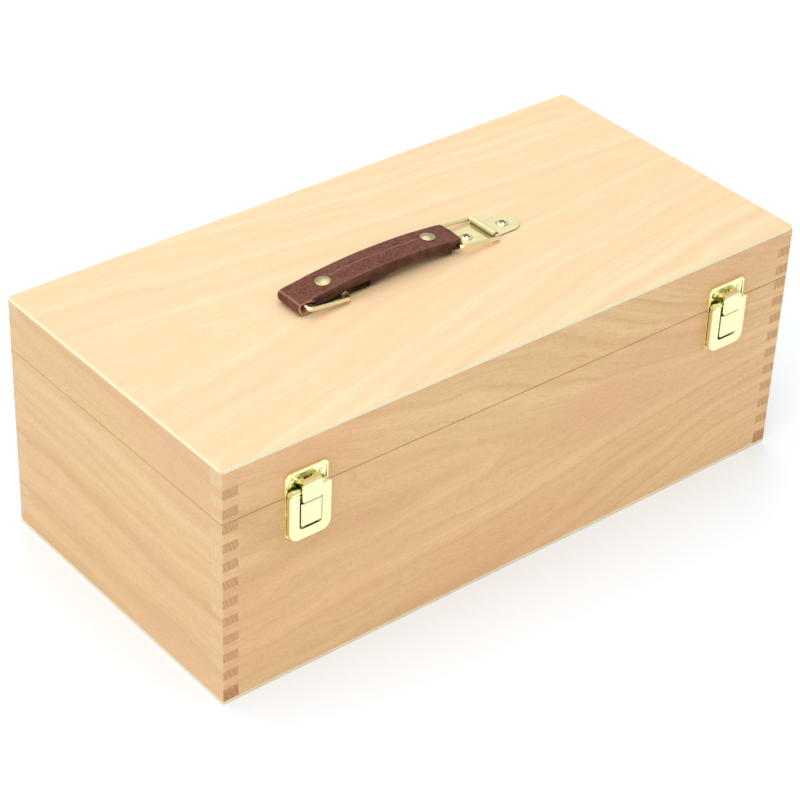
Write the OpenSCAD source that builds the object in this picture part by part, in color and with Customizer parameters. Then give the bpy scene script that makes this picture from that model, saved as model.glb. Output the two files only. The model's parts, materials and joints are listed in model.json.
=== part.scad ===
// Wooden artist case: a finger-jointed beech box with a hinged lid, two toggle
// latches on the front and a leather handle that swings on two wire loops.
// X runs left to right, -Y is the front with the latches, +Z is up.
// The origin is the middle of the underside. All sizes are in millimetres.

/* [Case] */
// Outer length, left to right
case_len = 405; // [380:1:430]
// Outer width, front to back
case_wid = 198.5; // [180:0.5:220]
// Height of the base, from the table to the seam
base_ht = 118.8; // [100:0.6:140]
// Height of the lid, from the seam to the top face
lid_ht = 33.9; // [31:0.1:45]
// Gap between the base and the closed lid
seam_gap = 0.3; // [0.2:0.05:0.5]
// Thickness of the wall boards
wall_t = 10; // [9.5:0.5:12]
// Thickness of the top and bottom panels
panel_t = 2.4; // [2:0.1:3]
// Width of one finger of the corner joints
finger = 6; // [5:0.5:8]
// Height of the first lid finger above the seam
lid_first = 3.3; // [2.5:0.1:5]

/* [Compartments] */
// Height of the inner slats above the bottom panel
slat_ht = 70; // [30:1:90]
// Thickness of the inner slats
slat_t = 5; // [3:0.5:8]
// Distance of the long slat behind the middle line
slat_y = 20; // [0:1:50]
// Distance of the two short slats from the middle
slat_x = 64; // [40:1:100]

/* [Latches] */
// Distance of each latch from the middle
latch_x = 150.4; // [110:0.1:165]

/* [Hinges] */
// Distance of each hinge from the middle
hinge_x = 120; // [60:1:150]
// Length of each hinge
hinge_len = 40; // [36:1:50]

/* [Handle] */
// Knuckle axis of the left handle plate
knuckle_l = -56.1; // [-60:0.1:-52]
// Knuckle axis of the right handle plate
knuckle_r = 52.1; // [50:0.1:56]
// Width of the leather strap
strap_w = 19.4; // [17:0.1:19.6]

/* [Hidden] */
$fn = 48;

L2 = case_len / 2;
W2 = case_wid / 2;
lid_z0 = base_ht + seam_gap;          // lower edge of the lid walls
case_ht = base_ht + seam_gap + lid_ht; // top face of the box
lid_z1 = case_ht - panel_t;           // upper edge of the lid walls
seam_z = base_ht + seam_gap / 2;
edge_r = 0.8;                         // softened upright edges
seam_c = 0.35;                        // small bevel along the seam

beech = "burlywood";
pale = "navajowhite";
brass = "gold";
hide = "saddlebrown";

// ---- fingers of the corner joints --------------------------------------
// Spans [low, high] where the side boards reach through to the front and
// back faces. In the base they are counted down from the seam, and the last
// one runs on down to the bottom panel.
base_n = floor((base_ht - panel_t - 1) / (2 * finger));
base_fingers = [for (k = [0:base_n])
  let (top = base_ht - 2 * finger * k)
  [k == base_n ? panel_t : max(top - finger, panel_t), top]];
lid_n = floor((lid_z1 - 2 - lid_z0 - lid_first - finger) / (2 * finger));
lid_fingers = [for (k = [0:lid_n])
  let (low = lid_z0 + lid_first + 2 * finger * k) [low, low + finger]];

// ---- helpers --------------------------------------------------------------
// Rounded rectangle about the origin
module rounded_rect(l, w, r) {
  square([l - 2 * r, w], center = true);
  square([l, w - 2 * r], center = true);
  for (sx = [-1, 1], sy = [-1, 1])
    translate([sx * (l / 2 - r), sy * (w / 2 - r)]) circle(r);
}

// Panel whose upper edges are rounded over by f and whose corners have radius r
module soft_panel(l, w, t, r, f) {
  linear_extrude(t - f) rounded_rect(l, w, r);
  linear_extrude(t) square([l - 2 * r, w - 2 * f], center = true);
  linear_extrude(t) square([l - 2 * f, w - 2 * r], center = true);
  for (s = [-1, 1]) {
    translate([-(l / 2 - r), s * (w / 2 - f), t - f]) rotate([0, 90, 0]) cylinder(r = f, h = l - 2 * r);
    translate([s * (l / 2 - f), w / 2 - r, t - f]) rotate([90, 0, 0]) cylinder(r = f, h = w - 2 * r);
  }
  for (sx = [-1, 1], sy = [-1, 1])
    translate([sx * (l / 2 - r), sy * (w / 2 - r), 0])
      rotate_extrude() {
        square([r - f, t]);
        intersection() {
          translate([r - f, t - f]) circle(f);
          square([r + 1, t + 1]);
        }
      }
}

// Profile drawn as (outward, up) and stretched along X from x0 over len.
// Outward is towards the front.
module along_x(x0, len) {
  translate([x0, 0, 0]) mirror([0, 1, 0]) rotate([90, 0, 90]) linear_extrude(len) children();
}
// The same for the back of the case
module along_x_back(x0, len) {
  translate([x0, 0, 0]) rotate([90, 0, 90]) linear_extrude(len) children();
}
// Outline drawn as (x, up) and raised outwards from o0 by t
module raised(o0, t) {
  translate([0, -o0, 0]) rotate([90, 0, 0]) linear_extrude(t) children();
}
// Round bar along X in the front frame, at outward o and height h
module bar_x(x0, len, o, h, r) {
  translate([x0, -o, h]) rotate([0, 90, 0]) cylinder(r = r, h = len);
}
// Triangular cuts that bevel the outer edges at height z, all round
module edge_bevel(z, c) {
  for (s = [-1, 1]) {
    translate([0, s * W2, z]) rotate([45, 0, 0]) cube([case_len + 4, c * 1.414, c * 1.414], center = true);
    translate([s * L2, 0, z]) rotate([0, 45, 0]) cube([c * 1.414, case_wid + 4, c * 1.414], center = true);
  }
}

// ---- where the fasteners go ----------------------------------------------
latch_nail_h = -21.6;  // nails of the latch base plate, below the seam
keeper_nail_h = 9.5;   // nails of the keeper, above the seam
nail_x = 8.9;
nail_r = 0.6;
nail_len = 8.6;
hinge_screw_h = 7;
hinge_screw_x = 13;
hinge_screw_r = 0.9;

// Small holes in the front boards, in case coordinates
module nail_pilots(h) {
  for (s = [-1, 1], t = [-1, 1])
    translate([s * latch_x + t * nail_x, -W2 - 1, base_ht + h])
      rotate([-90, 0, 0]) cylinder(r = nail_r + 0.05, h = nail_len + 1);
}
module hinge_pilots(dir) {
  for (s = [-1, 1], t = [-1, 1])
    translate([s * hinge_x + t * hinge_screw_x, W2 + 1, seam_z + dir * hinge_screw_h])
      rotate([90, 0, 0]) cylinder(r = hinge_screw_r + 0.05, h = 9.2);
}

// ---- wooden boards ----------------------------------------------------------
// Everything of the box between two heights, with softened upright edges
module box_block(z0, z1) {
  translate([0, 0, z0]) linear_extrude(z1 - z0) rounded_rect(case_len, case_wid, edge_r);
}
// Long board at the front (s = -1) or back (s = 1)
module long_board(s, z0, z1, spans) {
  difference() {
    intersection() {
      box_block(z0, z1);
      translate([-L2 - 1, s < 0 ? -W2 - 1 : W2 - wall_t, z0]) cube([case_len + 2, wall_t + 1, z1 - z0]);
    }
    for (f = spans, e = [-1, 1])
      translate([e < 0 ? -L2 - 1 : L2 - wall_t, s < 0 ? -W2 - 2 : W2 - wall_t - 1, f[0]])
        cube([wall_t + 1, wall_t + 3, f[1] - f[0]]);
    edge_bevel(base_ht, seam_c);
    edge_bevel(lid_z0, seam_c);
  }
}
// Short board at the left (s = -1) or right (s = 1)
module short_board(s, z0, z1, spans) {
  difference() {
    intersection() {
      box_block(z0, z1);
      union() {
        translate([s < 0 ? -L2 - 1 : L2 - wall_t, -W2 + wall_t, z0])
          cube([wall_t + 1, case_wid - 2 * wall_t, z1 - z0]);
        for (f = spans)
          translate([s < 0 ? -L2 - 1 : L2 - wall_t, -W2 - 1, f[0]])
            cube([wall_t + 1, case_wid + 2, f[1] - f[0]]);
      }
    }
    edge_bevel(base_ht, seam_c);
    edge_bevel(lid_z0, seam_c);
  }
}

module base_front() color(beech) difference() {
  long_board(-1, panel_t, base_ht, base_fingers);
  nail_pilots(latch_nail_h);
}
module base_back() color(beech) difference() {
  long_board(1, panel_t, base_ht, base_fingers);
  hinge_pilots(-1);
}
module base_left() color(beech) short_board(-1, panel_t, base_ht, base_fingers);
module base_right() color(beech) short_board(1, panel_t, base_ht, base_fingers);
module base_bottom() color(pale) difference() {
  linear_extrude(panel_t) rounded_rect(case_len, case_wid, 1.2);
  edge_bevel(0, 0.4);
}

module lid_front() color(beech) difference() {
  long_board(-1, lid_z0, lid_z1, lid_fingers);
  nail_pilots(keeper_nail_h);
}
module lid_back() color(beech) difference() {
  long_board(1, lid_z0, lid_z1, lid_fingers);
  hinge_pilots(1);
}
module lid_left() color(beech) short_board(-1, lid_z0, lid_z1, lid_fingers);
module lid_right() color(beech) short_board(1, lid_z0, lid_z1, lid_fingers);
module lid_top() color(pale) difference() {
  translate([0, 0, lid_z1]) soft_panel(case_len, case_wid, panel_t, 2.5, 0.9);
  handle_screw_holes(1.5);
}

// Slats that divide the base: one along the length, two across the front part
module divider_long() color(beech)
  translate([-L2 + wall_t, slat_y - slat_t / 2, panel_t])
    cube([case_len - 2 * wall_t, slat_t, slat_ht]);
module divider_cross() color(beech)
  for (s = [-1, 1])
    translate([s * slat_x - slat_t / 2, -W2 + wall_t, panel_t])
      cube([slat_t, slat_y - slat_t / 2 + W2 - wall_t, slat_ht]);

// Blocks glued under the thin top, so that the handle screws have wood to bite
module handle_blocks() color(beech) difference() {
  for (x = [knuckle_l, knuckle_r])
    translate([x, 0, lid_z1 - 8]) linear_extrude(8) rounded_rect(60, 26, 3);
  handle_screw_holes(1.45);
}

// ---- toggle latches -----------------------------------------------------------
// Drawn with the origin on the front face at the top edge of the base board:
// o is outward from the face, h is above the base board.
p1o = 3.8; p1h = 3.8;    // pivot of the lever
p2o = 2.9; p2h = -0.2;   // pivot of the tongue in the lever

// Outline of the base plate: square at the seam, round at the bottom
module plate_outline(hw, low, high, r) {
  translate([-hw, low + r]) square([2 * hw, high - low - r]);
  translate([-hw + r, low]) square([2 * hw - 2 * r, r + 0.01]);
  for (s = [-1, 1]) translate([s * (hw - r), low + r]) circle(r);
}
module keeper_outline(d) {
  polygon([[-13.8 + d, 0.3], [13.8 - d, 0.3], [13.8 - d, 12.9 - d * 0.4],
           [11.6 - d * 0.4, 15.1 - d], [-11.6 + d * 0.4, 15.1 - d], [-13.8 + d, 12.9 - d * 0.4]]);
}
module nail_holes(h) {
  for (t = [-1, 1])
    translate([t * nail_x, 1, h]) rotate([90, 0, 0]) cylinder(r = nail_r + 0.05, h = 4);
}

module latch_plate() color(brass) difference() {
  union() {
    raised(0, 1.1) plate_outline(13.6, -26.4, 0, 5);
    // pressed rim, open at the seam
    raised(0, 1.6) difference() {
      plate_outline(13.6, -26.4, 0, 5);
      plate_outline(12.4, -25.2, 1, 3.8);
    }
    // pressed boss that fills the window of the lever
    intersection() {
      raised(0, 6.4) plate_outline(6.6, -18.5, -3.2, 2.6);
      along_x(-7, 14) {
        translate([0, -16.3]) square([6.4, 12.5]);
        translate([0, -3.9]) square([5.7, 0.7]);
        translate([5.7, -3.9]) circle(0.7);
        translate([0, -18.5]) square([4.2, 3]);
        translate([4.2, -16.3]) circle(2.2);
      }
      translate([0, 0, -19]) linear_extrude(16) {
        translate([-6.6, -5.2]) square([13.2, 5.2]);
        translate([-5.4, -6.4]) square([10.8, 6.4]);
        for (s = [-1, 1]) translate([s * 5.4, -5.2]) circle(1.2);
      }
    }
    // two ears that reach over the keeper and hold the lever
    for (x = [-7.1, 6.3]) along_x(x, 0.8) {
      translate([p1o, p1h]) circle(1.75);
      polygon([[0.5, -10.8], [1.95, -10.8], [1.95, 0.6], [2.9, 2.4], [2.9, 3.8],
               [2.05, 3.8], [1.45, 0.8], [1.45, 0.2], [1.0, 0], [0.5, 0]]);
    }
  }
  bar_x(-8, 16, p1o, p1h, 0.85);
  nail_holes(latch_nail_h);
}

module keeper() color(brass) difference() {
  union() {
    raised(0, 1.1) keeper_outline(0);
    raised(0, 1.6) difference() {
      keeper_outline(0);
      translate([0, -1]) keeper_outline(1.2);
      translate([-12.6, 0]) square([25.2, 3]);
    }
    // lip that the tongue hooks over
    along_x(-4.8, 9.6) {
      translate([1.0, 5.0]) square([4.05, 0.7]);
      translate([4.35, 5.0]) square([0.7, 3.2]);
    }
  }
  // groove along the inside of the rim
  raised(0.75, 1) difference() {
    translate([0, -1]) keeper_outline(1.2);
    translate([0, -1]) keeper_outline(1.6);
    translate([-20, -2]) square([40, 4]);
  }
  nail_holes(keeper_nail_h);
}

// Outline of the lever: rounded foot, shoulders rounded on both sides
module lever_foot() plate_outline(13.5, -26.5, 3.8, 6.2);
module lever_window() {
  translate([-7.3, -17.6]) square([14.6, 30]);
  translate([-5.1, -19.8]) square([10.2, 4]);
  for (s = [-1, 1]) translate([s * 5.1, -17.6]) circle(2.2);
}
// One shoulder, at the right: its top corners are rounded
module shoulder() {
  translate([7.3, -10]) square([6.2, 11.6]);
  translate([9.1, -10]) square([0.5, 15.6]);
  translate([7.3, -10]) square([2, 13.8]);
  translate([9.1, 3.8]) circle(1.8);
  translate([9.5, 1.6]) circle(4.0);
}
module lever() color(brass) difference() {
  union() {
    raised(4.4, 0.8) difference() { lever_foot(); lever_window();
      translate([-20, -2]) square([40, 10]); }
    // turned-back rim round the outside
    raised(2.4, 2.4) difference() {
      plate_outline(13.5, -26.5, 1.6, 6.2);
      plate_outline(12.7, -25.7, 3, 5.4);
    }
    for (s = [0, 1]) mirror([s, 0, 0]) {
      // arm and rolled eye, cut to the shoulder's outline
      intersection() {
        raised(1, 6) shoulder();
        along_x(7.3, 6.2) {
          translate([4.4, -9]) square([0.8, 12.8]);
          translate([p1o, p1h]) circle(1.8);
        }
      }
      // inner flange that carries the tongue's pin
      along_x(7.3, 0.7) {
        translate([p2o, p2h]) circle(1.5);
        polygon([[p2o, -1.7], [4.6, -1.7], [4.6, 3.8], [2.1, 3.8], [1.4, p2h]]);
        translate([p1o, p1h]) circle(1.8);
      }
    }
  }
  bar_x(-14, 28, p1o, p1h, 0.85);
  bar_x(-8.2, 16.4, p2o, p2h, 0.85);
}
module tongue_pin() color(brass) bar_x(-8.1, 16.2, p2o, p2h, 0.8);

module tongue() color(brass) difference() {
  union() {
    // front plate, its lower corners rounded
    raised(5.8, 0.7) plate_outline(6.4, -2.4, 8.35, 1.6);
    along_x(-6, 12) {
      // rolled shoulder, sloping roof and the leg that catches the lip
      difference() {
        translate([5.2, 8.3]) circle(1.3);
        translate([5.2, 8.3]) circle(0.6);
        translate([3, 6]) square([2.2, 4]);
        translate([3, 5]) square([4, 3.3]);
      }
      polygon([[1.3, 10.7], [1.3, 7.5], [1.9, 7.5], [1.9, 9.83], [5.25, 8.88], [5.25, 9.6]]);
      // eye on the pin
      translate([p2o, p2h]) circle(1.5);
      translate([p2o, -1.7]) square([2.95, 2.5]);
    }
    // cheeks that close the hook at its sides
    for (x = [-6, 5.4]) along_x(x, 0.6)
      polygon([[1.3, 8.6], [4.8, 7.9], [5.4, 6.4], [5.85, 6.4], [5.85, 8.9], [5.2, 9.5], [1.3, 10.6]]);
  }
  // slot in the roof
  translate([-3.4, -3.4, 8]) cube([6.8, 1.2, 4]);
  bar_x(-7, 14, p2o, p2h, 0.85);
}

module at_latch(s) translate([s * latch_x, -W2, base_ht]) children();

module latch_plate_left() at_latch(-1) latch_plate();
module latch_plate_right() at_latch(1) latch_plate();
module keeper_left() at_latch(-1) keeper();
module keeper_right() at_latch(1) keeper();
module lever_left() at_latch(-1) lever();
module lever_right() at_latch(1) lever();
module tongue_left() at_latch(-1) tongue();
module tongue_right() at_latch(1) tongue();
module tongue_pin_left() at_latch(-1) tongue_pin();
module tongue_pin_right() at_latch(1) tongue_pin();

// Stub rivets that the levers turn on, fixed in the ears
module lever_rivets() color(brass)
  for (s = [-1, 1]) at_latch(s) {
    bar_x(6.25, 5.35, p1o, p1h, 0.8);
    bar_x(-11.6, 5.35, p1o, p1h, 0.8);
  }

// Round-headed nail, its head on a plate 1.1 thick
module nail() {
  translate([0, nail_len, 0]) rotate([90, 0, 0]) cylinder(r = nail_r, h = nail_len + 1.2);
  translate([0, -1.1, 0]) rotate([90, 0, 0]) rotate_extrude() intersection() {
    translate([0, -1.1]) circle(1.75);
    square([1.3, 1.5]);
  }
}
module latch_plate_nails() color(brass)
  for (s = [-1, 1], t = [-1, 1]) at_latch(s) translate([t * nail_x, 0, latch_nail_h]) nail();
module keeper_nails() color(brass)
  for (s = [-1, 1], t = [-1, 1]) at_latch(s) translate([t * nail_x, 0, keeper_nail_h]) nail();

// ---- hinges at the back ---------------------------------------------------------
ax_o = 2.3;      // hinge axis behind the back face
knuckle_ro = 2.0;
leaf_t = 1.0;
leaf_h = 12;
mid_half = hinge_len / 6;   // half length of the middle knuckle
module at_hinge(s) translate([s * hinge_x, W2, seam_z]) children();

// Leaf on the base: two outer knuckles
module leaf_base() color(brass) difference() {
  union() {
    along_x_back(-hinge_len / 2, hinge_len) translate([0, -leaf_h]) square([leaf_t, leaf_h - 2.6]);
    for (x = [-hinge_len / 2, mid_half + 0.3])
      along_x_back(x, hinge_len / 2 - mid_half - 0.3) {
        translate([ax_o, 0]) circle(knuckle_ro);
        translate([0, -leaf_h]) square([leaf_t, leaf_h - 0.5]);
        translate([0.4, -2.2]) square([1.4, 2.2]);
      }
  }
  translate([-hinge_len, ax_o, 0]) rotate([0, 90, 0]) cylinder(r = 1.05, h = 2 * hinge_len);
  leaf_screw_cuts(-1);
}
// Leaf on the lid: the middle knuckle
module leaf_lid() color(brass) difference() {
  union() {
    along_x_back(-hinge_len / 2, hinge_len) translate([0, 2.6]) square([leaf_t, leaf_h - 2.6]);
    along_x_back(-mid_half, 2 * mid_half) {
      translate([ax_o, 0]) circle(knuckle_ro);
      translate([0, 0.5]) square([leaf_t, leaf_h - 0.5]);
      translate([0.4, 0]) square([1.4, 2.2]);
    }
  }
  translate([-hinge_len, ax_o, 0]) rotate([0, 90, 0]) cylinder(r = 1.05, h = 2 * hinge_len);
  leaf_screw_cuts(1);
}
module leaf_screw_cuts(dir) {
  for (t = [-1, 1]) translate([t * hinge_screw_x, -0.5, dir * hinge_screw_h]) rotate([-90, 0, 0]) {
    cylinder(r = 1.0, h = 3);
    translate([0, 0, 0.45]) cylinder(r1 = 0.95, r2 = 2.15, h = 1.1);
  }
}
module leaf_screw() difference() {
  union() {
    translate([0, 0.9, 0]) rotate([90, 0, 0]) cylinder(r = hinge_screw_r, h = 8.6);
    translate([0, 0.0, 0]) rotate([-90, 0, 0]) cylinder(r1 = 0.9, r2 = 2.0, h = 1.0);
  }
  for (a = [0, 90]) translate([0, 1.0, 0]) rotate([0, a, 0]) cube([2.2, 1.0, 0.45], center = true);
}
module hinge_screws_base() color(brass)
  for (s = [-1, 1], t = [-1, 1]) at_hinge(s) translate([t * hinge_screw_x, 0, -hinge_screw_h]) leaf_screw();
module hinge_screws_lid() color(brass)
  for (s = [-1, 1], t = [-1, 1]) at_hinge(s) translate([t * hinge_screw_x, 0, hinge_screw_h]) leaf_screw();
module hinge_pin() color(brass) translate([-hinge_len / 2 - 0.4, ax_o, 0]) rotate([0, 90, 0])
  cylinder(r = 1.0, h = hinge_len + 0.8);
module hinge_leaf_base_left() at_hinge(-1) leaf_base();
module hinge_leaf_base_right() at_hinge(1) leaf_base();
module hinge_leaf_lid_left() at_hinge(-1) leaf_lid();
module hinge_leaf_lid_right() at_hinge(1) leaf_lid();
module hinge_pin_left() at_hinge(-1) hinge_pin();
module hinge_pin_right() at_hinge(1) hinge_pin();

// ---- handle ------------------------------------------------------------------
// Drawn with the origin on the top face of the lid.
kn_h = 2.4;            // height of the knuckle axes
tube_r = 2.2;
wire_r = 1.2;
leg_y = 12.9;          // the loops' side legs
bend_r = 1.8;
loop_dx = -27.3;       // from a knuckle to the bar it carries, at rest
bar_h = 5.2;
loop_len = sqrt(loop_dx * loop_dx + (bar_h - kn_h) * (bar_h - kn_h));
loop_tilt = atan2(bar_h - kn_h, -loop_dx);
bar_l = knuckle_l + loop_dx;
bar_r = knuckle_r + loop_dx;
plate_len = 48;
plate_hw = 9.2;
screw_off = 13.4;
module on_top() translate([0, 0, case_ht]) children();

module handle_screw_holes(r) {
  for (x = [knuckle_l, knuckle_r], s = [-1, 1])
    translate([x + s * screw_off, 0, case_ht - 14]) cylinder(r = r, h = 20);
}
module handle_plate(x) color(brass) difference() {
  translate([x, 0, case_ht]) {
    linear_extrude(0.9) union() {
      square([plate_len - 2 * plate_hw, 2 * plate_hw], center = true);
      for (s = [-1, 1]) translate([s * (plate_len / 2 - plate_hw), 0]) circle(plate_hw);
    }
    translate([0, -10, kn_h]) rotate([-90, 0, 0]) cylinder(r = tube_r, h = 20);
    translate([-tube_r, -10, 0.4]) cube([2 * tube_r, 20, kn_h - 0.4]);
  }
  translate([x, -11, case_ht + kn_h]) rotate([-90, 0, 0]) cylinder(r = 1.25, h = 22);
  handle_screw_holes(1.5);
}
module handle_plate_left() handle_plate(knuckle_l);
module handle_plate_right() handle_plate(knuckle_r);

// Domed, cross-slotted screws
module handle_screws() color(brass)
  for (x = [knuckle_l, knuckle_r], s = [-1, 1])
    translate([x + s * screw_off, 0, case_ht]) difference() {
      union() {
        translate([0, 0, -9]) cylinder(r = 1.4, h = 10);
        translate([0, 0, 0.9]) rotate_extrude() intersection() {
          translate([0, -4.46]) circle(5.86);
          square([3.8, 3]);
        }
      }
      for (a = [20, 110]) rotate([0, 0, a]) translate([0, 0, 2.1]) cube([4.4, 1.0, 1.0], center = true);
    }

// Wire loop: the knuckle wire, two legs and the bar, with round corners
module wire_loop(x, slide) color(brass)
  translate([x, slide, case_ht + kn_h]) rotate([0, loop_tilt, 0]) {
    for (u = [0, -loop_len])
      translate([u, -leg_y + bend_r, 0]) rotate([-90, 0, 0]) cylinder(r = wire_r, h = 2 * (leg_y - bend_r));
    for (s = [-1, 1])
      translate([-loop_len + bend_r, s * leg_y, 0]) rotate([0, 90, 0]) cylinder(r = wire_r, h = loop_len - 2 * bend_r);
    for (c = [[-bend_r, leg_y - bend_r, 0], [-loop_len + bend_r, leg_y - bend_r, 90],
              [-loop_len + bend_r, -leg_y + bend_r, 180], [-bend_r, -leg_y + bend_r, 270]])
      translate([c[0], c[1], 0]) rotate([0, 0, c[2]]) rotate_extrude(angle = 90)
        translate([bend_r, 0]) circle(wire_r);
  }
// The loops have some play along their knuckles and have slid forwards
module wire_loop_left() wire_loop(knuckle_l, -1.45);
module wire_loop_right() wire_loop(knuckle_r, -0.3);

// The strap's upper face is a shallow arch; x and height above the lid
strap_t = 2.2;
fold_l = bar_l - 1.0;
fold_r = bar_r - 0.1;
function arch(x) = 12.8 - 3.0 * pow((x + 22) / 48, 2);
function lerp(a, b, t) = a + (b - a) * t;
// Underside of the folded-back left end, clear of the plate, screw heads and
// knuckle below
tail_line = [[fold_l, 0.25], [-75, 2.6], [-61.4, 2.75], [-58.7, 4.85], [-38.9, 4.85]];
tail_t = 2.3;
// Underside of the padded grip between its square-cut ends
pad_l = -38.4;
pad_r = 20.9;
function pad(x) = 4.9 - (x < -9 ? 3.8 * pow((x + 9) / (pad_l + 9), 2) : 4.5 * pow((x + 9) / (pad_r + 9), 2));
strap_n = 28;
arc_n = 10;
function arc_pts(cx, cy, r, a0, a1) =
  [for (i = [0:arc_n]) let (a = lerp(a0, a1, i / arc_n)) [cx + r * cos(a), cy + r * sin(a)]];
function arch_pts(x0, x1, drop) =
  [for (i = [0:strap_n]) let (x = lerp(x0, x1, i / strap_n)) [x, arch(x) - drop]];

// One closed outline: upper layer, right fold and short tail, underside of the
// upper layer, left tail and left fold
module strap_profile() polygon(concat(
  arch_pts(fold_l, fold_r, 0),
  arc_pts(fold_r + 0.5, 7.3, 2.6, 78, 0),
  arc_pts(fold_r + 0.5, 5.8, 2.6, 0, -90),
  [[21.2, 3.4], [21.2, 5.7], [22.4, 5.7]],
  arch_pts(22.4, -81, strap_t),
  [[-81, 3.4]],
  [for (i = [1:4]) [tail_line[i][0], tail_line[i][1] + tail_t]],
  [for (i = [4:-1:1]) tail_line[i]],
  arc_pts(fold_l, 4.03, 3.78, 270, 96)));
// Rivets stand square to the arch; the left one was set a little off centre
rivet_x = [-64.9, 9.8];
rivet_y = [-1.3, 0];
rivet_l = [7.4, 8.1];   // length under the upper face
function rivet_tilt(x) = atan(6.0 * (x + 22) / (48 * 48));
module at_rivet(i) translate([rivet_x[i], rivet_y[i], arch(rivet_x[i])])
  rotate([0, rivet_tilt(rivet_x[i]), 0]) children();
module rivet_bores() for (i = [0, 1]) at_rivet(i) translate([0, 0, -14]) cylinder(r = 1.55, h = 20);

module handle_strap() color(hide) on_top() difference() {
  translate([0, strap_w / 2, 0]) rotate([90, 0, 0]) linear_extrude(strap_w) strap_profile();
  for (x = [bar_l, bar_r])
    translate([x, -strap_w, bar_h]) rotate([-90, 0, 0]) cylinder(r = 1.3, h = 2 * strap_w);
  rivet_bores();
  // shallow seat for the left rivet's lower head
  at_rivet(0) translate([0, 0, -14]) cylinder(r = 2.6, h = 14 - rivet_l[0]);
}
module handle_core() color(hide) on_top() difference() {
  translate([0, strap_w / 2 - 0.6, 0]) rotate([90, 0, 0]) linear_extrude(strap_w - 1.2)
    polygon(concat(
      arch_pts(-74, 22, strap_t + 0.05),
      [[22, 5.8], [pad_r, 5.8]],
      [for (i = [0:strap_n]) let (x = lerp(pad_r, pad_l, i / strap_n)) [x, pad(x)]],
      [[pad_l, 7.25], [-58.8, 7.25], [-61.5, 5.15], [-74, 5.0]]));
  rivet_bores();
  at_rivet(1) translate([0, 0, -14]) cylinder(r = 2.6, h = 14 - rivet_l[1]);
}
module handle_rivets() color(brass) on_top()
  for (i = [0, 1]) at_rivet(i) {
    rotate_extrude() intersection() {
      translate([0, -12.3]) circle(13.1);
      square([4.5, 2]);
    }
    translate([0, 0, -rivet_l[i]]) cylinder(r = 1.5, h = rivet_l[i] + 0.1);
    translate([0, 0, -rivet_l[i] - 0.4]) cylinder(r = 2.5, h = 0.4);
  }

base_front();
base_back();
base_left();
base_right();
base_bottom();
divider_long();
divider_cross();
latch_plate_left();
latch_plate_right();
latch_plate_nails();
lever_rivets();
hinge_leaf_base_left();
hinge_leaf_base_right();
hinge_pin_left();
hinge_pin_right();
hinge_screws_base();
lid_front();
lid_back();
lid_left();
lid_right();
lid_top();
handle_blocks();
keeper_left();
keeper_right();
keeper_nails();
hinge_leaf_lid_left();
hinge_leaf_lid_right();
hinge_screws_lid();
handle_plate_left();
handle_plate_right();
handle_screws();
lever_left();
lever_right();
tongue_left();
tongue_right();
tongue_pin_left();
tongue_pin_right();
wire_loop_left();
wire_loop_right();
handle_strap();
handle_core();
handle_rivets();
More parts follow.
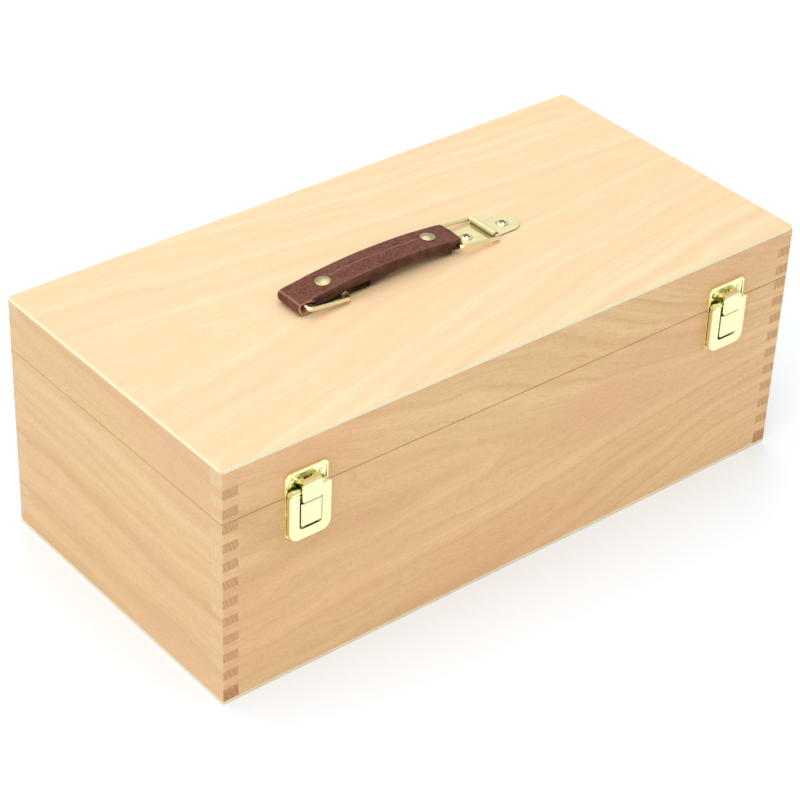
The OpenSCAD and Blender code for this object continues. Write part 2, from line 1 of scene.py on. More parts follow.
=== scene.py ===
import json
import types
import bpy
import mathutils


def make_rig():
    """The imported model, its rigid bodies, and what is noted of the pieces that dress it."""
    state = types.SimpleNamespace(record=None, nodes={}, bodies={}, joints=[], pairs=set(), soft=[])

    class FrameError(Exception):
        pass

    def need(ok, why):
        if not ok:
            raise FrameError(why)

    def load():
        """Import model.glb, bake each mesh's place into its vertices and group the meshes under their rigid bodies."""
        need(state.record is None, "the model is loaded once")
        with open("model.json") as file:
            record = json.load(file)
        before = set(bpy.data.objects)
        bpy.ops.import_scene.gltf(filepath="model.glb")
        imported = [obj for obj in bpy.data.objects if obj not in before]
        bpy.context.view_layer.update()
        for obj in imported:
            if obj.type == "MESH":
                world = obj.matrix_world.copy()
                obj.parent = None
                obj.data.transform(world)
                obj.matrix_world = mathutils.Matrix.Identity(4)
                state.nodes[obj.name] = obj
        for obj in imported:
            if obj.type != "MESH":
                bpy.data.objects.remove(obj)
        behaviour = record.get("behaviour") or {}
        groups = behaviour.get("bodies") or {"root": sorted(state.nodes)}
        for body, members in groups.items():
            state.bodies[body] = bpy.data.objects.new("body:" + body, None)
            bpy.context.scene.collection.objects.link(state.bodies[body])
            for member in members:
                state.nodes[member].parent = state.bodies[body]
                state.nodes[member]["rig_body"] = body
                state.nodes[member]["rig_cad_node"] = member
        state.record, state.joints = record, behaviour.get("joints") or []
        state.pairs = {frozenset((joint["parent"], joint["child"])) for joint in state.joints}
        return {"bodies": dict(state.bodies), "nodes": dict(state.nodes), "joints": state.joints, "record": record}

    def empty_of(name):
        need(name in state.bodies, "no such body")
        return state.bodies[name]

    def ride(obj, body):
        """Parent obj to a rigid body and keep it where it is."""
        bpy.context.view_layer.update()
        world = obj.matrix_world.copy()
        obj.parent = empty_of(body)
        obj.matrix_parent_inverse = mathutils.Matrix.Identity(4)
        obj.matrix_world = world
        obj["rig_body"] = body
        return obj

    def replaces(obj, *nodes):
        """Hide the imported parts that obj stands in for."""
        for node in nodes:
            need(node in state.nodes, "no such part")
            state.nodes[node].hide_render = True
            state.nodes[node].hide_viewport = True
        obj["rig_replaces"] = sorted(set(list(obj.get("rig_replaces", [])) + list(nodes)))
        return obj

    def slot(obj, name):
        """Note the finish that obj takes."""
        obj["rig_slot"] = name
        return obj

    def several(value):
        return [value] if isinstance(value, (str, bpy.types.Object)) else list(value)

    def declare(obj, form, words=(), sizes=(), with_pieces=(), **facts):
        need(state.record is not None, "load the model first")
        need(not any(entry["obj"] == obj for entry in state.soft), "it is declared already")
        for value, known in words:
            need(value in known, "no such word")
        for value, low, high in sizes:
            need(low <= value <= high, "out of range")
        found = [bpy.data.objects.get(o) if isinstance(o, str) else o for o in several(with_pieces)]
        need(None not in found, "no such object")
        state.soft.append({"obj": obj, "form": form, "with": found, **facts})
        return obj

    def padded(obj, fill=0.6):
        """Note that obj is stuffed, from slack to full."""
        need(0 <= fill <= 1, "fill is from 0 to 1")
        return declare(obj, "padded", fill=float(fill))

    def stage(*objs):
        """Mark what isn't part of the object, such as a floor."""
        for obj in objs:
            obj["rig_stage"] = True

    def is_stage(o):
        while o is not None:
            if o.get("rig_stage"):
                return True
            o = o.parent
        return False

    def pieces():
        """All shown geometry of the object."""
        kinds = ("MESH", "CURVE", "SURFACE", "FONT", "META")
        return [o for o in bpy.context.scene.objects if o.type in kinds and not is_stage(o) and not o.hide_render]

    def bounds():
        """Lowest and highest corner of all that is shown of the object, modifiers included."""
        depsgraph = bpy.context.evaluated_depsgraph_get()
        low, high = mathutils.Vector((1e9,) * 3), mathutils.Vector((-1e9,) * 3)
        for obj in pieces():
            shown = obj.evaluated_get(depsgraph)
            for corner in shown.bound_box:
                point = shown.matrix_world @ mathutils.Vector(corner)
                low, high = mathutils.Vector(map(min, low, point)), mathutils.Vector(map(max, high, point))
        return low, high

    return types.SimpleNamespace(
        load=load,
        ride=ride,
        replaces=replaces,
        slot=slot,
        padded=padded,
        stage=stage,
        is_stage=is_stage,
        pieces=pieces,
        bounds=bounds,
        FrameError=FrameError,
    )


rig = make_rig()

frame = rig.load()

import json
import math
import bmesh
import bpy
import numpy as np
from mathutils import Quaternion, Vector, noise

cad_box = [list(v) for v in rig.bounds()]
nodes = frame["nodes"]
scene = bpy.context.scene
MM = 0.001
TOP = 0.153            # height of the lid's top face
FRONT = -0.09925       # the front face
LEFT = -0.2025         # the left face


# ---------------------------------------------------------------- node helper
class Tree:
    """Builds a node material with little typing. Sockets and plain values mix freely."""

    def __init__(self, name):
        self.mat = bpy.data.materials.new(name)
        self.mat.use_nodes = True
        self.t = self.mat.node_tree
        self.t.nodes.clear()
        self.out = self.t.nodes.new("ShaderNodeOutputMaterial")
        self.bsdf = self.t.nodes.new("ShaderNodeBsdfPrincipled")
        self.t.links.new(self.bsdf.outputs[0], self.out.inputs[0])
        self.coord = self.t.nodes.new("ShaderNodeTexCoord")

    def put(self, sock, v):
        if isinstance(v, bpy.types.NodeSocket):
            self.t.links.new(v, sock)
        elif v is not None:
            sock.default_value = v

    def node(self, kind, **kw):
        n = self.t.nodes.new("ShaderNode" + kind)
        for k, v in kw.items():
            setattr(n, k, v)
        return n

    def math(self, op, a, b=None, c=None, clamp=False):
        n = self.node("Math", operation=op, use_clamp=clamp)
        for i, v in enumerate((a, b, c)):
            if v is not None:
                self.put(n.inputs[i], v)
        return n.outputs[0]

    def add(self, a, b):
        return self.math("ADD", a, b)

    def sub(self, a, b):
        return self.math("SUBTRACT", a, b)

    def mul(self, a, b):
        return self.math("MULTIPLY", a, b)

    def mad(self, a, b, c):
        return self.math("MULTIPLY_ADD", a, b, c)

    def sqrt2(self, a, c):
        """sqrt(a*a + c*c)"""
        return self.math("SQRT", self.mad(a, a, c * c))

    def smooth(self, v, lo, hi, to_lo=0.0, to_hi=1.0):
        n = self.node("MapRange", interpolation_type="SMOOTHSTEP", clamp=True)
        for i, x in enumerate((v, lo, hi, to_lo, to_hi)):
            self.put(n.inputs[i], x)
        return n.outputs[0]

    def lin(self, v, lo, hi, to_lo=0.0, to_hi=1.0):
        n = self.node("MapRange", clamp=True)
        for i, x in enumerate((v, lo, hi, to_lo, to_hi)):
            self.put(n.inputs[i], x)
        return n.outputs[0]

    def xyz(self, v):
        n = self.node("SeparateXYZ")
        self.put(n.inputs[0], v)
        return n.outputs[0], n.outputs[1], n.outputs[2]

    def vec(self, x, y, z):
        n = self.node("CombineXYZ")
        for i, v in enumerate((x, y, z)):
            self.put(n.inputs[i], v)
        return n.outputs[0]

    def mm(self):
        """Object coordinates in millimetres; they stay with the body."""
        n = self.node("VectorMath", operation="SCALE")
        self.t.links.new(self.coord.outputs["Object"], n.inputs[0])
        n.inputs["Scale"].default_value = 1000.0
        return n.outputs[0]

    def noise3(self, v, scale=1.0, detail=2.0, rough=0.5, distort=0.0):
        n = self.node("TexNoise", noise_dimensions="3D")
        self.put(n.inputs["Vector"], v)
        n.inputs["Scale"].default_value = scale
        n.inputs["Detail"].default_value = detail
        n.inputs["Roughness"].default_value = rough
        n.inputs["Distortion"].default_value = distort
        return n.outputs[0]

    def noise1(self, w, scale=1.0, detail=2.0, rough=0.5):
        n = self.node("TexNoise", noise_dimensions="1D")
        self.put(n.inputs["W"], w)
        n.inputs["Scale"].default_value = scale
        n.inputs["Detail"].default_value = detail
        n.inputs["Roughness"].default_value = rough
        return n.outputs[0]

    def voronoi(self, v, scale, feature="F1", rand=1.0, out="Distance"):
        n = self.node("TexVoronoi", feature=feature)
        self.put(n.inputs["Vector"], v)
        n.inputs["Scale"].default_value = scale
        n.inputs["Randomness"].default_value = rand
        return n.outputs[out]

    def mix(self, fac, a, b, blend="MIX"):
        n = self.node("Mix", data_type="RGBA", blend_type=blend, clamp_factor=True)
        self.put(n.inputs["Factor"], fac)
        for s, v in ((n.inputs[6], a), (n.inputs[7], b)):
            self.put(s, (*v, 1.0) if isinstance(v, tuple) and len(v) == 3 else v)
        return n.outputs[2]

    def bump(self, height, strength=1.0, dist=0.0001, normal=None):
        n = self.node("Bump")
        n.inputs["Strength"].default_value = strength
        n.inputs["Distance"].default_value = dist
        self.put(n.inputs["Height"], height)
        if normal is not None:
            self.put(n.inputs["Normal"], normal)
        return n.outputs[0]

    def attr(self, name):
        n = self.node("Attribute", attribute_name=name)
        return n.outputs["Fac"]

    def finish(self, color, rough, normal=None, **const):
        b = self.bsdf
        self.put(b.inputs["Base Color"], (*color, 1.0) if isinstance(color, tuple) and len(color) == 3 else color)
        self.put(b.inputs["Roughness"], rough)
        if normal is not None:
            self.put(b.inputs["Normal"], normal)
        for k, v in const.items():
            b.inputs[k.replace("_", " ")].default_value = v
        return self.mat


def lin(r, g, b):
    """sRGB 0-255 to linear."""
    f = lambda c: c / 12.92 if c <= 0.04045 else ((c + 0.055) / 1.055) ** 2.4
    return tuple(f(c / 255.0) for c in (r, g, b))


def mesh_object(name, verts, faces):
    me = bpy.data.meshes.new(name)
    me.from_pydata(verts, [], faces)
    me.update()
    o = bpy.data.objects.new(name, me)
    scene.collection.objects.link(o)
    return o


# ---------------------------------------------------------------- wood
def wood(name, kind):
    """Beech boards and the pale top veneer. The rings are level lines of one field
    that is bent to run as the grain does, with its third direction set so that the
    end grain of each board shows the same rings cut across."""
    T = Tree(name)
    p = T.mm()
    x, y, z = T.xyz(p)
    nx, ny, nz = T.xyz(T.coord.outputs["Normal"])
    if kind == "front":          # front and back boards, lid and base: one field across the seam
        u, v, w = x, z, y
        seed = 11.0
    elif kind == "side":
        u, v, w = y, z, x
        seed = 47.0
    elif kind == "top":
        u, v, w = x, y, z
        seed = 83.0
    else:                        # slats and blocks inside
        u, v, w = x, z, y
        seed = 131.0
    # slow wandering of the grain
    warp = T.noise3(T.vec(T.mul(u, 0.011), T.mul(v, 0.032), T.mad(w, 0.01, seed)), 1.0, 2.0, 0.55)
    warp2 = T.noise3(T.vec(T.mul(u, 0.035), T.mul(v, 0.11), T.mad(w, 0.04, seed + 5)), 1.0, 1.0, 0.5)
    if kind == "front":
        dz = T.sub(v, 82.0)
        h = T.smooth(u, -20.0, 235.0, 1.0, 2.1)
        ring = T.sqrt2(T.mul(dz, h), 9.0)
        up = T.smooth(dz, -10.0, 55.0, 0.08, 0.26)
        ring = T.add(ring, T.mul(u, up))
        ring = T.add(ring, T.mul(w, 3.0))
        ring = T.mad(warp, 26.0, ring)
        ring = T.mad(warp2, 4.0, ring)
        unit = 5.2
    elif kind == "side":
        ring = T.mad(u, -0.035, v)
        ring = T.add(ring, T.mul(w, 2.9))
        ring = T.mad(warp, 22.0, ring)
        ring = T.mad(warp2, 3.0, ring)
        unit = 5.6
    elif kind == "top":
        dy = T.sub(v, 15.0)
        open_ = T.smooth(u, -190.0, 120.0, 0.95, 1.35)
        ring = T.sqrt2(T.mul(dy, open_), 2.0)
        side = T.smooth(dy, -14.0, 10.0, 0.15, 0.075)
        ring = T.add(ring, T.mul(T.sub(u, 97.0), side))
        ring = T.mad(T.sub(warp, 0.5), 20.0, ring)
        ring = T.mad(T.sub(warp2, 0.5), 3.5, ring)
        ring = T.add(ring, T.mul(w, 2.0))
        unit = 5.0
    else:
        ring = T.mad(u, 0.05, T.mad(w, 1.7, v))
        ring = T.mad(warp, 18.0, ring)
        unit = 5.0
    r1 = T.mul(ring, 1.0 / unit)
    # soft broad bands, finer bands inside them, and a few thin late-wood lines
    broad = T.noise1(T.add(r1, seed), 0.42, 1.0, 0.5)
    fine = T.noise1(T.add(r1, seed + 31.0), 1.5, 3.0, 0.62)
    saw = T.math("FRACT", T.mul(T.mad(broad, 1.6, r1), 0.62))
    late = T.smooth(saw, 0.62, 0.97)
    late = T.mul(late, T.smooth(saw, 0.995, 0.97))
    # where the figure is strong and where it fades
    vis = T.noise3(T.vec(T.mul(u, 0.014), T.mul(v, 0.05), T.mad(w, 0.02, seed + 9)), 1.0, 1.0, 0.5)
    vis = T.smooth(vis, 0.36, 0.66, 0.25, 1.0)
    # streaks of fibres, and short dark rays
    fibre = T.noise3(T.vec(T.mul(u, 0.07), T.mul(v, 1.9), T.mul(w, 1.9)), 1.0, 3.0, 0.6)
    fibre2 = T.noise3(T.vec(T.mul(u, 0.022), T.mad(ring, 0.55, seed), T.mul(w, 0.6)), 1.0, 2.0, 0.6)
    fleck = T.noise3(T.vec(T.mul(u, 0.42), T.mul(v, 3.1), T.mad(w, 3.1, seed)), 1.0, 0.0, 0.5)
    fleck = T.smooth(fleck, 0.60, 0.74)
    pale_fleck = T.noise3(T.vec(T.mul(u, 0.30), T.mad(v, 2.1, 70.0), T.mad(w, 2.1, seed)), 1.0, 0.0, 0.5)
    pale_fleck = T.smooth(pale_fleck, 0.62, 0.76)
    cloud = T.noise3(T.vec(T.mul(u, 0.006), T.mul(v, 0.013), T.mad(w, 0.006, seed + 3)), 1.0, 2.0, 0.5)
    mott = T.noise3(T.vec(T.mul(u, 0.09), T.mul(v, 0.16), T.mad(w, 0.12, seed)), 1.0, 3.0, 0.6)

    if kind == "top":
        light, deep, pink = lin(248, 223, 180), lin(236, 200, 154), lin(248, 210, 167)
    elif kind == "front":
        light, deep, pink = lin(241, 203, 151), lin(214, 169, 118), lin(229, 179, 133)
    elif kind == "side":
        light, deep, pink = lin(232, 196, 147), lin(209, 166, 117), lin(222, 178, 135)
    else:
        light, deep, pink = lin(236, 205, 160), lin(205, 165, 118), lin(222, 182, 140)
    # one number for how dark the wood is here
    d = T.mad(T.sub(broad, 0.5), 1.1, 0.42)
    soft = 0.72 if kind in ("front", "side") else 1.0
    d = T.mad(T.mul(T.sub(fine, 0.5), vis), 0.95 * soft, d)
    d = T.mad(T.mul(late, vis), 0.26 * soft, d)
    d = T.mad(T.sub(fibre, 0.5), 0.40, d)
    d = T.mad(T.sub(fibre2, 0.5), 0.40 * soft, d)
    d = T.mad(T.sub(mott, 0.5), 0.30, d)
    d = T.math("MULTIPLY_ADD", d, 1.0, 0.0, clamp=True)
    col = T.mix(d, light, deep)
    col = T.mix(T.smooth(cloud, 0.40, 0.66, 0.0, 0.75), col, T.mix(d, tuple(min(1, c * 1.06) for c in pink), tuple(c * 0.93 for c in pink)))
    fleck_amt = 0.22 if kind != "top" else 0.10
    col = T.mix(T.mul(fleck, fleck_amt), col, tuple(c * 0.55 for c in deep))
    col = T.mix(T.mul(pale_fleck, 0.22), col, tuple(min(1, c * 1.12) for c in light))

    if kind == "top":
        # the long tongue of pinker wood whose tip lies right of the handle
        tongue = T.smooth(ring, 1.6, 2.4, 0.42, 0.0)
        col = T.mix(tongue, col, lin(250, 212, 166))
        # ply edge: pale layers with a thin darker glue line
        hgt = T.sub(z, 150.6)
        edge = T.math("MAXIMUM", T.math("ABSOLUTE", nx), T.math("ABSOLUTE", ny))
        edge = T.smooth(edge, 0.72, 0.86)
        layer = T.smooth(T.math("ABSOLUTE", T.sub(hgt, 0.95)), 0.0, 0.32, 1.0, 0.0)
        streak = T.noise3(T.vec(T.mul(x, 0.5), T.mul(y, 0.5), T.mul(z, 6.0)), 1.0, 3.0, 0.6)
        ecol = T.mix(T.smooth(streak, 0.3, 0.7), lin(255, 248, 218), lin(244, 224, 178))
        ecol = T.mix(T.mul(layer, 0.45), ecol, lin(214, 178, 122))
        under = T.noise3(T.vec(T.mul(x, 0.6), T.mul(y, 0.6), T.mul(z, 3.0)), 1.0, 2.0, 0.5)
        col = T.mix(edge, col, ecol)
        below = T.smooth(nz, -0.5, -0.8)
        col = T.mix(below, col, T.mix(under, lin(236, 212, 170), lin(220, 190, 146)))
        rough = T.mad(fibre, 0.12, 0.42)
    else:
        if kind in ("front", "side"):
            ncomp = nx if kind == "front" else ny
            end = T.smooth(T.math("ABSOLUTE", ncomp), 0.70, 0.86)
            # rings cut across: close dark streaks, and pores as fine dots
            cut = T.noise1(T.mul(ring, 1.0 / unit), 2.1, 3.0, 0.7)
            cut = T.smooth(cut, 0.28, 0.76)
            pores = T.noise3(T.vec(T.mul(x, 2.6), T.mul(y, 2.6), T.mul(z, 2.6)), 1.0, 2.0, 0.6)
            if kind == "side":
                low = T.smooth(z, 12.0, 7.0)
                ea = T.mix(low, lin(222, 178, 130), lin(207, 154, 108))
                eb = T.mix(low, lin(184, 132, 88), lin(165, 106, 68))
            else:
                ea, eb = lin(232, 202, 158), lin(202, 174, 136)
            ecol = T.mix(cut, ea, eb)
            ecol = T.mix(T.smooth(pores, 0.55, 0.75, 0.0, 0.30), ecol, lin(150, 112, 82))
            if kind == "front":
                end = T.mul(end, 0.75)
            col = T.mix(end, col, ecol)
        rough = T.mad(fibre, 0.14, 0.46)
    pore_h = T.noise3(T.vec(T.mul(u, 0.25), T.mul(v, 3.0), T.mul(w, 3.0)), 1.0, 2.0, 0.6)
    n = T.bump(pore_h, 0.25, 0.00012)
    n = T.bump(fine, 0.10, 0.0002, n)
    return T.finish(col, rough, n, IOR=1.45, Specular_IOR_Level=0.30)


def ply(name):
    """The thin panel below: pale, with soft streaks and a dirty lower edge."""
    T = Tree(name)
    p = T.mm()
    x, y, z = T.xyz(p)
    s = T.noise3(T.vec(T.mul(x, 0.05), T.mul(y, 0.8), T.mul(z, 4.0)), 1.0, 4.0, 0.6)
    c = T.mix(T.smooth(s, 0.3, 0.7), lin(250, 238, 212), lin(226, 204, 168))
    layer = T.smooth(T.math("ABSOLUTE", T.sub(z, 1.2)), 0.0, 0.35, 0.35, 0.0)
    c = T.mix(layer, c, lin(200, 168, 124))
    k = T.noise3(T.vec(T.mul(x, 0.4), T.mul(y, 0.4), T.mul(z, 1.0)), 1.0, 3.0, 0.6)
    c = T.mix(T.smooth(k, 0.55, 0.8, 0.0, 0.25), c, lin(196, 172, 138))
    n = T.bump(s, 0.3, 0.0001)
    return T.finish(c, T.mad(s, 0.15, 0.5), n, IOR=1.45, Specular_IOR_Level=0.3)


# ---------------------------------------------------------------- metal
def brass(name, bright, dull, rough_lo, rough_hi, scale=1.0, edges=0.0, painted_screw_shade=False):
    """Plated brass: a cloudy tarnish, rolled streaks, small pits and fine scratches.
    Faces turned down or sideways can take painted shade, and the screws take painted shade in their slots and at the
    rim."""
    T = Tree(name)
    p = T.mm()
    x, y, z = T.xyz(p)
    cloud = T.noise3(p, 0.16 * scale, 4.0, 0.6)
    pits = T.noise3(p, 2.6, 2.0, 0.6)
    scr = T.noise3(T.vec(T.mul(x, 5.5), T.mul(y, 5.5), T.mul(z, 0.35)), 1.0, 2.0, 0.7)
    scr2 = T.noise3(T.vec(T.mul(x, 0.4), T.mul(y, 6.0), T.mul(z, 6.0)), 1.0, 2.0, 0.7)
    c = T.mix(T.smooth(cloud, 0.35, 0.7), bright, dull)
    c = T.mix(T.smooth(pits, 0.68, 0.8, 0.0, 0.35), c, tuple(v * 0.55 for v in dull))
    # painted shade: faces that turn down or sideways are darkened towards brown, the more the further they turn from
    # the top
    if edges:
        up = T.xyz(T.coord.outputs["Normal"])[2]
        c = T.mix(T.smooth(up, 0.45, 0.10, 0.0, edges), c, (0.26, 0.17, 0.07))
    # painted shade: cross darkens the recess in each screw head
    if painted_screw_shade:
        mid = T.mad(T.math("GREATER_THAN", x, -56.1), 26.8, -69.5)
        mid = T.mad(T.math("GREATER_THAN", x, 0.0), 81.4, mid)
        mid = T.mad(T.math("GREATER_THAN", x, 52.1), 26.8, mid)
        dx = T.sub(x, mid)
        ca, sa = math.cos(math.radians(20)), math.sin(math.radians(20))
        ua = T.math("ABSOLUTE", T.mad(y, sa, T.mul(dx, ca)))
        va = T.math("ABSOLUTE", T.mad(y, ca, T.mul(dx, -sa)))
        cross = T.mul(T.smooth(T.math("MINIMUM", ua, va), 0.68, 0.42),
                      T.smooth(T.math("MAXIMUM", ua, va), 2.4, 1.9))
        # rim: painted shade round the edge of each screw head
        rim = T.smooth(T.math("SQRT", T.mad(dx, dx, T.mul(y, y))), 3.0, 3.75, 0.0, 0.6)
        c = T.mix(T.math("MAXIMUM", cross, rim), c, (0.24, 0.17, 0.07))
    r = T.mad(T.sub(cloud, 0.5), (rough_hi - rough_lo) * 1.6, (rough_lo + rough_hi) / 2)
    r = T.mad(T.smooth(scr, 0.6, 0.75), 0.06, r)
    r = T.mad(T.smooth(scr2, 0.62, 0.75), 0.05, r)
    n = T.bump(T.noise3(p, 0.35, 2.0, 0.5), 0.22, 0.00025)
    n = T.bump(T.mad(T.smooth(scr, 0.6, 0.8), -1.0, T.mul(pits, -0.5)), 0.12, 0.00004, n)
    return T.finish(c, r, n, Metallic=1.0)


# ---------------------------------------------------------------- leather
def leather(name):
    """Pebbled, dark red-brown hide: painted shade in the furrows and on the side faces,
    rubbed wear and painted highlight on folds, edges and ridge, painted highlight specks on the pebbles, raw tan where
    it is cut."""
    T = Tree(name)
    p = T.mm()
    big = T.noise3(p, 0.10, 3.0, 0.6)
    blot = T.noise3(p, 0.55, 3.0, 0.6)
    fine = T.noise3(p, 2.4, 3.0, 0.6)
    cell = T.voronoi(p, 1.15, "F1")
    tiny = T.voronoi(p, 3.2, "F1")
    pebble = T.attr("pebble")
    rub_and_highlight = T.attr("rub_and_highlight")
    cut = T.attr("cut")
    side = T.attr("side")
    base = T.mix(T.smooth(blot, 0.34, 0.66), lin(127, 69, 45), lin(86, 39, 24))
    # the side faces take a darker, redder copy of the hide colour: painted shade
    red = T.mix(T.smooth(blot, 0.34, 0.66), lin(76, 34, 21), lin(50, 21, 12))
    c = T.mix(side, base, red)
    c = T.mix(T.smooth(big, 0.42, 0.66, 0.0, 0.35), c, lin(130, 80, 60))
    # painted shade in the furrows between the pebbles
    c = T.mix(T.smooth(pebble, 0.40, 0.0, 0.0, 0.85), c, lin(46, 20, 13))
    # painted highlight: light specks on the pebbles, over the whole hide
    c = T.mix(T.smooth(fine, 0.55, 0.78, 0.0, 0.36), c, lin(160, 114, 94))
    # rubbed wear and painted highlight: lighter on the folds, the top edges and the ridge
    c = T.mix(T.mul(rub_and_highlight, T.smooth(fine, 0.25, 0.6, 0.45, 1.0)), c, lin(176, 132, 118))
    raw = T.mix(T.smooth(fine, 0.35, 0.65), lin(206, 164, 132), lin(164, 116, 88))
    c = T.mix(cut, c, raw)
    r = T.mad(T.sub(blot, 0.5), 0.30, 0.50)
    n = T.bump(T.mad(cell, -0.9, T.mul(tiny, -0.35)), 0.35, 0.00022)
    n = T.bump(fine, 0.25, 0.00008, n)
    return T.finish(c, r, n, IOR=1.48, Specular_IOR_Level=0.30)


# ---------------------------------------------------------------- assign finishes
mat_front = wood("wood_long_boards", "front")
mat_side = wood("wood_short_boards", "side")
mat_top = wood("wood_top_veneer", "top")
mat_in = wood("wood_inside", "inner")
mat_ply = ply("ply_panel_finish")
mat_brass = brass("brass_bright", (1.0, 0.965, 0.58), (0.98, 0.92, 0.49), 0.10, 0.18)
# edges=0.9 gives the handle plates painted shade on their down- and side-facing faces, knuckle ends included
mat_plate = brass("brass_plate_dull", (0.90, 0.83, 0.49), (0.82, 0.73, 0.38), 0.30, 0.42, edges=0.9)
mat_wire = brass("brass_wire", (1.0, 0.91, 0.55), (0.95, 0.81, 0.42), 0.08, 0.16)
mat_rivet = brass("brass_rivet", (0.60, 0.52, 0.30), (0.46, 0.40, 0.21), 0.22, 0.34, 3.0)
# the screws get painted shade in their recesses and round their rim
mat_screw = brass("brass_screw", (0.97, 0.92, 0.62), (0.80, 0.72, 0.40), 0.12, 0.22, 3.0, painted_screw_shade=True)
mat_leather = leather("leather_pebbled")

FINISH = {
    "base_front": mat_front, "base_back": mat_front, "lid_front": mat_front, "lid_back": mat_front,
    "base_left": mat_side, "base_right": mat_side, "lid_left": mat_side, "lid_right": mat_side,
    "lid_top": mat_top, "base_bottom": mat_ply,
    "divider_long": mat_in, "divider_cross": mat_in, "handle_blocks": mat_in,
    "handle_plate_left": mat_plate, "handle_plate_right": mat_plate,
    "wire_loop_left": mat_wire, "wire_loop_right": mat_wire,
    "handle_rivets": mat_rivet, "handle_screws": mat_screw,
}
for name, o in nodes.items():
    m = FINISH.get(name, mat_brass)
    if name in ("handle_strap", "handle_core"):
        m = mat_leather
    for s in o.material_slots:
        s.material = m
    if not o.material_slots:
        o.data.materials.append(m)


def soften(o, width, angle=28.0, segments=2):
    """Rounds the sharp edges of a CAD node with modifiers only."""
    w = o.modifiers.new("weld", "WELD")
    w.merge_threshold = 0.000002
    d = o.modifiers.new("flat", "DECIMATE")
    d.decimate_type = "DISSOLVE"
    d.angle_limit = math.radians(0.6)
    b = o.modifiers.new("round", "BEVEL")
    b.width = width
    b.segments = segments
    b.limit_method = "ANGLE"
    b.angle_limit = math.radians(angle)
    b.use_clamp_overlap = True
    n = o.modifiers.new("normals", "WEIGHTED_NORMAL")
    n.mode = "FACE_AREA"
    n.weight = 60
    n.keep_sharp = False




def formed(name, centre, outer, rest, outer_seg=4):
    """A pressed-sheet copy of a CAD node: its front outline is rolled over by outer,
    its other sharp edges are eased by rest. Sizes in metres."""
    src = nodes[name]
    bm = bmesh.new()
    bm.from_mesh(src.data)
    bmesh.ops.remove_doubles(bm, verts=bm.verts, dist=2e-6)
    bmesh.ops.dissolve_limit(bm, angle_limit=math.radians(0.5), verts=bm.verts, edges=bm.edges)
    c = Vector(centre)

    def sharp(e):
        return len(e.link_faces) == 2 and e.calc_face_angle(0.0) > math.radians(26)

    roll = []
    for e in bm.edges:
        if not sharp(e):
            continue
        ny = [f.normal.y for f in e.link_faces]
        k = 0 if ny[0] < -0.9 else (1 if ny[1] < -0.9 else None)
        if k is None or abs(ny[1 - k]) > 0.3:
            continue
        mid = (e.verts[0].co + e.verts[1].co) / 2
        if abs(mid.y - c.y) > 0.00006:
            continue
        side = e.link_faces[1 - k].normal
        if side.dot(mid - c) > 0:
            roll.append(e)
    if roll and outer:
        bmesh.ops.bevel(bm, geom=roll, offset=outer, segments=outer_seg, profile=0.5,
                        affect="EDGES", clamp_overlap=True)
    others = [e for e in bm.edges if sharp(e)]
    if others and rest:
        bmesh.ops.bevel(bm, geom=others, offset=rest, segments=2, profile=0.5,
                        affect="EDGES", clamp_overlap=True)
    bmesh.ops.recalc_face_normals(bm, faces=bm.faces)
    me = bpy.data.meshes.new(name + "_formed")
    bm.to_mesh(me)
    bm.free()
    me.polygons.foreach_set("use_smooth", [True] * len(me.polygons))
    o = bpy.data.objects.new(name + "_formed", me)
    scene.collection.objects.link(o)
    n = o.modifiers.new("normals", "WEIGHTED_NORMAL")
    n.mode = "FACE_AREA"
    n.weight = 60
    n.keep_sharp = False
    me.materials.append(mat_brass)
    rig.replaces(o, name)
    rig.ride(o, src["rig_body"])
    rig.slot(o, "brass")
    return o


LATCH_X, SEAM_H = 0.1504, 0.1188
for s_, lr in ((-1, "left"), (1, "right")):
    formed("lever_" + lr, (s_ * LATCH_X, FRONT - 0.0052, SEAM_H - 0.0105), 0.00062, 0.00018)
    formed("tongue_" + lr, (s_ * LATCH_X, FRONT - 0.0065, SEAM_H + 0.0035), 0.00030, 0.00012, 3)
    formed("latch_plate_" + lr, (s_ * LATCH_X, FRONT - 0.0016, SEAM_H - 0.014), 0.00030, 0.00012, 3)
    formed("keeper_" + lr, (s_ * LATCH_X, FRONT - 0.0016, SEAM_H + 0.0075), 0.00030, 0.00012, 3)
for name in ("handle_plate_left", "handle_plate_right"):
    soften(nodes[name], 0.00018)

# ---------------------------------------------------------------- floor, light, camera
floor = mesh_object("floor", [(-6, -6, 0), (6, -6, 0), (6, 6, 0), (-6, 6, 0)], [(0, 1, 2, 3)])
T = Tree("floor_white")
T.finish((0.94, 0.96, 0.99), 0.9, Specular_IOR_Level=0.0,
         Emission_Color=(0.035, 0.075, 0.10, 1.0), Emission_Strength=1.0)
floor.data.materials.append(T.mat)
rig.stage(floor)


# ---------------------------------------------------------------- leather handle
# One long strip of leather: it starts under the grip, turns round the left wire,
# swells into the padded grip between the rivets, turns round the right wire and
# comes back underneath. The outer line is drawn as (x, height above the lid).
HW = 9.7                       # half width of the strip
FOLD_L, FOLD_R = -84.4, 24.7


def arch(x):
    return 12.8 - 3.0 * ((x + 22.0) / 48.0) ** 2


TAIL = ((FOLD_L, 0.25), (-75.0, 2.6), (-61.4, 2.75), (-58.7, 4.85), (-38.9, 4.85))
PAD_L, PAD_R = -38.4, 20.9     # square-cut ends of the padded grip


def tail_l(x):
    return float(np.interp(x, [q[0] for q in TAIL], [q[1] for q in TAIL]))


def tail_r(x):
    return 3.4 - 0.2 * (x - 21.2) / 4.0


def pad(x):
    k = 3.8 / (PAD_L + 9) ** 2 if x < -9 else 4.5 / (PAD_R + 9) ** 2
    return 4.9 - k * (x + 9) ** 2


